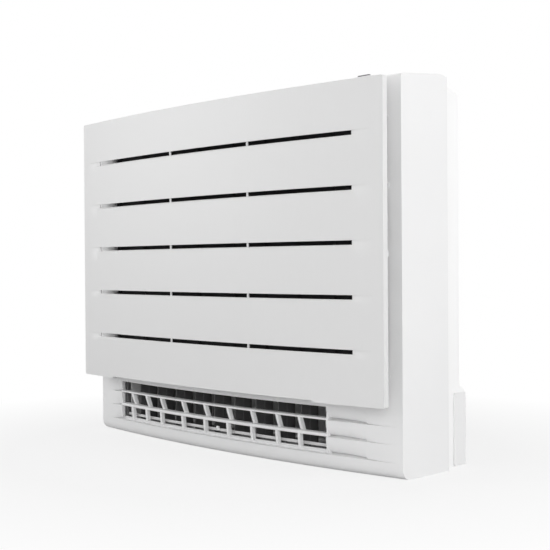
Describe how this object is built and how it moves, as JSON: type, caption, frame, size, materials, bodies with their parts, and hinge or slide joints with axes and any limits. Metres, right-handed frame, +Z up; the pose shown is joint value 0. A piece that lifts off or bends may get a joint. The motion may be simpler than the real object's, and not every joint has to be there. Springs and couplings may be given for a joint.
{
  "type": "floor standing air conditioner",
  "caption": "Slim white floor standing indoor air conditioner with a bowed slotted front panel and a shingled lower outlet grille.",
  "frame": {"origin": "middle of the footprint, on the floor", "axes": "+X to the right seen from the front, +Y to the back, +Z up"},
  "size_m": [0.75, 0.238, 0.6],
  "materials": {
    "panel_white": "bowed front panel, satin white moulding",
    "casing_white": "fine textured white moulding",
    "duct_white": "plain white moulding",
    "vane_dark": "dark grey moulding",
    "filter_dark": "dark mesh in a dark frame",
    "fan_grey": "grey moulding",
    "key_grey": "light grey keys",
    "display_smoke": "smoke tinted display window",
    "steel": "zinc plated steel",
    "aluminium": "aluminium fins",
    "copper": "copper tube",
    "board_green": "lacquered circuit board",
    "pan_grey": "grey drain pan"
  },
  "bodies": {
    "cabinet": {"front_casing": "casing_white", "lower_outlet_grille": "casing_white", "rear_casing": "casing_white", "pipe_cover_left": "casing_white", "pipe_cover_right": "casing_white", "wall_plate": "steel", "lower_duct": "duct_white", "upper_duct": "duct_white", "bell_mouth": "duct_white", "fan_motor": "steel", "motor_clamp": "steel", "fin_pack": "aluminium", "coil_end_left": "copper", "coil_end_right": "copper", "drain_pan": "pan_grey", "air_filter_left": "filter_dark", "air_filter_right": "filter_dark", "deodorising_filter": "filter_dark", "control_box": "steel", "control_box_lid": "steel", "circuit_board": "board_green", "terminal_block": "key_grey", "display_housing": "casing_white", "display_window": "display_smoke", "flap_motor": "steel", "damper_motor": "steel", "liquid_pipe": "copper", "gas_pipe": "copper", "casing_screw_left_low": "steel", "casing_screw_left_high": "steel", "casing_screw_right_low": "steel", "casing_screw_right_high": "steel"},
    "panel": {"front_panel": "panel_white"},
    "fan": {"turbo_fan": "fan_grey"},
    "flap": {"upper_flap": "casing_white"},
    "damper": {"lower_damper": "duct_white"},
    "upper_link": {"upper_vane_link": "duct_white"},
    "lower_link": {"lower_vane_link": "vane_dark"},
    "button": {"power_button": "key_grey"},
    "selector": {"outlet_switch": "key_grey"},
    "stopper_left": {"panel_stopper_left": "key_grey"},
    "stopper_right": {"panel_stopper_right": "key_grey"},
    "lower_vane_1": {"lower_vane_1": "vane_dark"},
    "lower_vane_2": {"lower_vane_2": "vane_dark"},
    "lower_vane_3": {"lower_vane_3": "vane_dark"},
    "lower_vane_4": {"lower_vane_4": "vane_dark"},
    "lower_vane_5": {"lower_vane_5": "vane_dark"},
    "lower_vane_6": {"lower_vane_6": "vane_dark"},
    "lower_vane_7": {"lower_vane_7": "vane_dark"},
    "lower_vane_8": {"lower_vane_8": "vane_dark"},
    "lower_vane_9": {"lower_vane_9": "vane_dark"},
    "lower_vane_10": {"lower_vane_10": "vane_dark"},
    "upper_vane_1": {"upper_vane_1": "duct_white"},
    "upper_vane_2": {"upper_vane_2": "duct_white"},
    "upper_vane_3": {"upper_vane_3": "duct_white"},
    "upper_vane_4": {"upper_vane_4": "duct_white"},
    "upper_vane_5": {"upper_vane_5": "duct_white"},
    "upper_vane_6": {"upper_vane_6": "duct_white"}
  },
  "joints": [
    {"name": "panel_hinge", "type": "hinge", "parent": "cabinet", "child": "panel", "pos_m": [0, -0.084, 0.1185], "axis": [1, 0, 0], "range_deg": [0, 30]},
    {"name": "fan_spin", "type": "hinge", "parent": "cabinet", "child": "fan", "pos_m": [-0.038, 0, 0.332], "axis": [0, 1, 0], "continuous": true},
    {"name": "flap_hinge", "type": "hinge", "parent": "cabinet", "child": "flap", "pos_m": [0, -0.0082, 0.5903], "axis": [-1, 0, 0], "range_deg": [0, 70]},
    {"name": "damper_hinge", "type": "hinge", "parent": "cabinet", "child": "damper", "pos_m": [0, -0.00564, 0.0305], "axis": [1, 0, 0], "range_deg": [0, 85]},
    {"name": "lower_vane_1_turn", "type": "hinge", "parent": "cabinet", "child": "lower_vane_1", "pos_m": [-0.25955, -0.03064, 0.06], "axis": [0, 0, 1], "range_deg": [-25, 25]},
    {"name": "lower_vane_2_turn", "type": "hinge", "parent": "cabinet", "child": "lower_vane_2", "pos_m": [-0.20665, -0.03064, 0.06], "axis": [0, 0, 1], "range_deg": [-25, 25]},
    {"name": "lower_vane_3_turn", "type": "hinge", "parent": "cabinet", "child": "lower_vane_3", "pos_m": [-0.15375, -0.03064, 0.06], "axis": [0, 0, 1], "range_deg": [-25, 25]},
    {"name": "lower_vane_4_turn", "type": "hinge", "parent": "cabinet", "child": "lower_vane_4", "pos_m": [-0.10085, -0.03064, 0.06], "axis": [0, 0, 1], "range_deg": [-25, 25]},
    {"name": "lower_vane_5_turn", "type": "hinge", "parent": "cabinet", "child": "lower_vane_5", "pos_m": [-0.04795, -0.03064, 0.06], "axis": [0, 0, 1], "range_deg": [-25, 25]},
    {"name": "lower_vane_6_turn", "type": "hinge", "parent": "cabinet", "child": "lower_vane_6", "pos_m": [0.00495, -0.03064, 0.06], "axis": [0, 0, 1], "range_deg": [-25, 25]},
    {"name": "lower_vane_7_turn", "type": "hinge", "parent": "cabinet", "child": "lower_vane_7", "pos_m": [0.05785, -0.03064, 0.06], "axis": [0, 0, 1], "range_deg": [-25, 25]},
    {"name": "lower_vane_8_turn", "type": "hinge", "parent": "cabinet", "child": "lower_vane_8", "pos_m": [0.11075, -0.03064, 0.06], "axis": [0, 0, 1], "range_deg": [-25, 25]},
    {"name": "lower_vane_9_turn", "type": "hinge", "parent": "cabinet", "child": "lower_vane_9", "pos_m": [0.16365, -0.03064, 0.06], "axis": [0, 0, 1], "range_deg": [-25, 25]},
    {"name": "lower_vane_10_turn", "type": "hinge", "parent": "cabinet", "child": "lower_vane_10", "pos_m": [0.21655, -0.03064, 0.06], "axis": [0, 0, 1], "range_deg": [-25, 25]},
    {"name": "lower_link_slide", "type": "slide", "parent": "cabinet", "child": "lower_link", "axis": [-1, 0, 0], "range_m": [-0.00436, 0.00436]},
    {"name": "upper_vane_1_turn", "type": "hinge", "parent": "cabinet", "child": "upper_vane_1", "pos_m": [-0.25417, -0.024, 0.57], "axis": [0, 0, 1], "range_deg": [-25, 25]},
    {"name": "upper_vane_2_turn", "type": "hinge", "parent": "cabinet", "child": "upper_vane_2", "pos_m": [-0.1625, -0.024, 0.57], "axis": [0, 0, 1], "range_deg": [-25, 25]},
    {"name": "upper_vane_3_turn", "type": "hinge", "parent": "cabinet", "child": "upper_vane_3", "pos_m": [-0.07083, -0.024, 0.57], "axis": [0, 0, 1], "range_deg": [-25, 25]},
    {"name": "upper_vane_4_turn", "type": "hinge", "parent": "cabinet", "child": "upper_vane_4", "pos_m": [0.02083, -0.024, 0.57], "axis": [0, 0, 1], "range_deg": [-25, 25]},
    {"name": "upper_vane_5_turn", "type": "hinge", "parent": "cabinet", "child": "upper_vane_5", "pos_m": [0.1125, -0.024, 0.57], "axis": [0, 0, 1], "range_deg": [-25, 25]},
    {"name": "upper_vane_6_turn", "type": "hinge", "parent": "cabinet", "child": "upper_vane_6", "pos_m": [0.20417, -0.024, 0.57], "axis": [0, 0, 1], "range_deg": [-25, 25]},
    {"name": "upper_link_slide", "type": "slide", "parent": "cabinet", "child": "upper_link", "axis": [-1, 0, 0], "range_m": [-0.00436, 0.00436]},
    {"name": "power_press", "type": "slide", "parent": "cabinet", "child": "button", "axis": [0, 1, 0], "range_m": [0, 0.0012], "stiffness_N_per_m": 400, "springref_m": -0.0005},
    {"name": "outlet_select", "type": "slide", "parent": "cabinet", "child": "selector", "axis": [0, 0, 1], "range_m": [0, 0.007]},
    {"name": "stopper_left_slide", "type": "slide", "parent": "cabinet", "child": "stopper_left", "axis": [-1, 0, 0], "range_m": [0, 0.01]},
    {"name": "stopper_right_slide", "type": "slide", "parent": "cabinet", "child": "stopper_right", "axis": [1, 0, 0], "range_m": [0, 0.01]}
  ],
  "couplings": [
    {"joint": "lower_vane_1_turn", "follows": "lower_link_slide", "rad_per_m": 100},
    {"joint": "lower_vane_2_turn", "follows": "lower_link_slide", "rad_per_m": 100},
    {"joint": "lower_vane_3_turn", "follows": "lower_link_slide", "rad_per_m": 100},
    {"joint": "lower_vane_4_turn", "follows": "lower_link_slide", "rad_per_m": 100},
    {"joint": "lower_vane_5_turn", "follows": "lower_link_slide", "rad_per_m": 100},
    {"joint": "lower_vane_6_turn", "follows": "lower_link_slide", "rad_per_m": 100},
    {"joint": "lower_vane_7_turn", "follows": "lower_link_slide", "rad_per_m": 100},
    {"joint": "lower_vane_8_turn", "follows": "lower_link_slide", "rad_per_m": 100},
    {"joint": "lower_vane_9_turn", "follows": "lower_link_slide", "rad_per_m": 100},
    {"joint": "lower_vane_10_turn", "follows": "lower_link_slide", "rad_per_m": 100},
    {"joint": "upper_vane_1_turn", "follows": "upper_link_slide", "rad_per_m": 100},
    {"joint": "upper_vane_2_turn", "follows": "upper_link_slide", "rad_per_m": 100},
    {"joint": "upper_vane_3_turn", "follows": "upper_link_slide", "rad_per_m": 100},
    {"joint": "upper_vane_4_turn", "follows": "upper_link_slide", "rad_per_m": 100},
    {"joint": "upper_vane_5_turn", "follows": "upper_link_slide", "rad_per_m": 100},
    {"joint": "upper_vane_6_turn", "follows": "upper_link_slide", "rad_per_m": 100}
  ]
}
